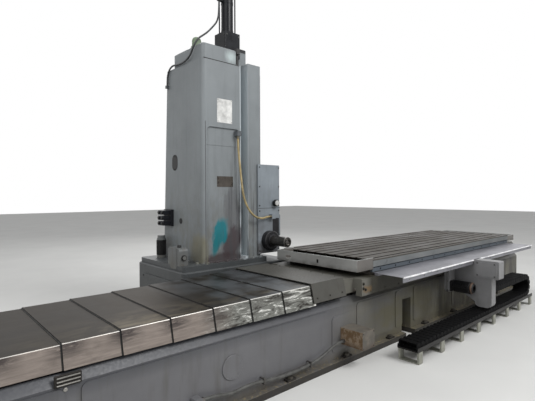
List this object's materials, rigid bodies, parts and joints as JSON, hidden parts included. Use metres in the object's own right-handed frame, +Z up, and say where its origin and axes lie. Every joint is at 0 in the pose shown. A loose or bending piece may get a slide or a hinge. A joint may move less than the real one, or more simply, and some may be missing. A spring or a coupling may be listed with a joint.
{
  "type": "horizontal jig boring and milling machine",
  "caption": "Horizontal jig boring and milling machine: long covered bed, travelling saddle with a T-slotted cross table, and a column behind it carrying a boring head.",
  "frame": {"origin": "middle of the bed's underside, on the foundation", "axes": "+X along the bed towards its right end, +Y from the operator's side towards the column, +Z up"},
  "size_m": [8.21, 3.457, 5.05],
  "materials": {
    "bed_paint": "old grey machine paint, oily",
    "saddle_paint": "grey machine paint, oily and stained",
    "column_paint": "pale blue-grey machine paint",
    "head_paint": "blue-grey machine paint",
    "trough_paint": "grey paint, worn",
    "box_paint": "tan enamel",
    "tray_paint": "off-white paint",
    "cylinder_paint": "black gloss paint",
    "motor_black": "black paint",
    "cover_steel": "oiled sheet steel with scratched edges",
    "ground_ways": "ground steel",
    "nose_steel": "dark turned steel",
    "bolt_steel": "plain steel",
    "table_iron": "machined cast iron, oiled",
    "gutter_sheet": "bright sheet metal",
    "chain_plastic": "black moulded links",
    "chrome_rod": "chromed rod",
    "hose_rubber": "yellow hose",
    "cable_rubber": "dark cable sheath"
  },
  "bodies": {
    "bed": {"bed_left": "bed_paint", "bed_right": "bed_paint", "bed_ways": "ground_ways", "x_screw": "ground_ways", "screw_bearings": "bed_paint", "cover_end_brackets": "bed_paint", "levelling_pads": "bolt_steel", "anchor_bolts": "bolt_steel", "round_cover_plate": "bed_paint", "junction_box": "box_paint", "conduit_cable": "cable_rubber", "chain_tray": "tray_paint", "chain_lower_run": "chain_plastic", "column_base": "column_paint", "column": "column_paint", "column_cap": "column_paint", "column_ways": "ground_ways", "z_screw": "ground_ways", "z_motor": "motor_black", "balance_cylinder": "cylinder_paint", "valve_stack": "motor_black", "lube_unit": "column_paint", "top_cable": "cable_rubber", "fixed_covers": "cover_steel"},
    "saddle": {"saddle": "saddle_paint", "left_cover_box": "cover_steel", "right_cover_box": "cover_steel", "cross_ways": "ground_ways", "cross_screw": "ground_ways", "gutter": "gutter_sheet", "outrigger_arm": "saddle_paint", "outrigger_post": "saddle_paint", "cross_motor": "motor_black", "belt_housing": "saddle_paint", "chain_upper_run": "chain_plastic"},
    "table": {"table": "table_iron", "end_troughs": "trough_paint"},
    "head": {"head_casting": "head_paint", "head_cover": "head_paint", "head_motor": "motor_black", "head_boxes": "motor_black", "nose_plate": "nose_steel", "feed_knob": "motor_black", "head_lug": "bolt_steel", "balance_rod": "chrome_rod", "yellow_hose": "hose_rubber"},
    "quill": {"quill": "ground_ways"},
    "spindle": {"spindle": "ground_ways"},
    "chain_loop": {"chain_loop": "chain_plastic"},
    "left_cover_1": {"left_cover_1": "cover_steel"},
    "left_cover_2": {"left_cover_2": "cover_steel"},
    "left_cover_3": {"left_cover_3": "cover_steel"},
    "left_cover_4": {"left_cover_4": "cover_steel"},
    "left_cover_5": {"left_cover_5": "cover_steel"},
    "left_cover_6": {"left_cover_6": "cover_steel"},
    "left_cover_7": {"left_cover_7": "cover_steel"},
    "right_cover_1": {"right_cover_1": "cover_steel"},
    "right_cover_2": {"right_cover_2": "cover_steel"},
    "right_cover_3": {"right_cover_3": "cover_steel"},
    "right_cover_4": {"right_cover_4": "cover_steel"}
  },
  "joints": [
    {"name": "saddle_x", "type": "slide", "parent": "bed", "child": "saddle", "axis": [1, 0, 0], "range_m": [-2.56, 0]},
    {"name": "table_y", "type": "slide", "parent": "saddle", "child": "table", "axis": [0, 1, 0], "range_m": [-0.45, 0.1]},
    {"name": "head_z", "type": "slide", "parent": "bed", "child": "head", "axis": [0, 0, 1], "range_m": [0, 1.15], "deforming": ["yellow_hose"]},
    {"name": "quill_w", "type": "slide", "parent": "head", "child": "quill", "axis": [0, 1, 0], "range_m": [-0.6, 0]},
    {"name": "spindle_spin", "type": "hinge", "parent": "quill", "child": "spindle", "pos_m": [-0.43, 0.56, 1.055], "axis": [0, 1, 0], "continuous": true},
    {"name": "chain_loop_x", "type": "slide", "parent": "saddle", "child": "chain_loop", "axis": [1, 0, 0], "range_m": [0, 1.28], "deforming": ["chain_upper_run", "chain_lower_run"]},
    {"name": "left_cover_1_x", "type": "slide", "parent": "bed", "child": "left_cover_1", "axis": [1, 0, 0], "range_m": [-2.24, 0]},
    {"name": "left_cover_2_x", "type": "slide", "parent": "bed", "child": "left_cover_2", "axis": [1, 0, 0], "range_m": [-1.92, 0]},
    {"name": "left_cover_3_x", "type": "slide", "parent": "bed", "child": "left_cover_3", "axis": [1, 0, 0], "range_m": [-1.6, 0]},
    {"name": "left_cover_4_x", "type": "slide", "parent": "bed", "child": "left_cover_4", "axis": [1, 0, 0], "range_m": [-1.28, 0]},
    {"name": "left_cover_5_x", "type": "slide", "parent": "bed", "child": "left_cover_5", "axis": [1, 0, 0], "range_m": [-0.96, 0]},
    {"name": "left_cover_6_x", "type": "slide", "parent": "bed", "child": "left_cover_6", "axis": [1, 0, 0], "range_m": [-0.64, 0]},
    {"name": "left_cover_7_x", "type": "slide", "parent": "bed", "child": "left_cover_7", "axis": [1, 0, 0], "range_m": [-0.32, 0]},
    {"name": "right_cover_1_x", "type": "slide", "parent": "bed", "child": "right_cover_1", "axis": [1, 0, 0], "range_m": [-2.048, 0]},
    {"name": "right_cover_2_x", "type": "slide", "parent": "bed", "child": "right_cover_2", "axis": [1, 0, 0], "range_m": [-1.536, 0]},
    {"name": "right_cover_3_x", "type": "slide", "parent": "bed", "child": "right_cover_3", "axis": [1, 0, 0], "range_m": [-1.024, 0]},
    {"name": "right_cover_4_x", "type": "slide", "parent": "bed", "child": "right_cover_4", "axis": [1, 0, 0], "range_m": [-0.512, 0]}
  ],
  "couplings": [
    {"joint": "chain_loop_x", "follows": "saddle_x", "ratio": -0.5},
    {"joint": "left_cover_1_x", "follows": "saddle_x", "ratio": 0.875},
    {"joint": "left_cover_2_x", "follows": "saddle_x", "ratio": 0.75},
    {"joint": "left_cover_3_x", "follows": "saddle_x", "ratio": 0.625},
    {"joint": "left_cover_4_x", "follows": "saddle_x", "ratio": 0.5},
    {"joint": "left_cover_5_x", "follows": "saddle_x", "ratio": 0.375},
    {"joint": "left_cover_6_x", "follows": "saddle_x", "ratio": 0.25},
    {"joint": "left_cover_7_x", "follows": "saddle_x", "ratio": 0.125},
    {"joint": "right_cover_1_x", "follows": "saddle_x", "ratio": 0.8},
    {"joint": "right_cover_2_x", "follows": "saddle_x", "ratio": 0.6},
    {"joint": "right_cover_3_x", "follows": "saddle_x", "ratio": 0.4},
    {"joint": "right_cover_4_x", "follows": "saddle_x", "ratio": 0.2}
  ]
}
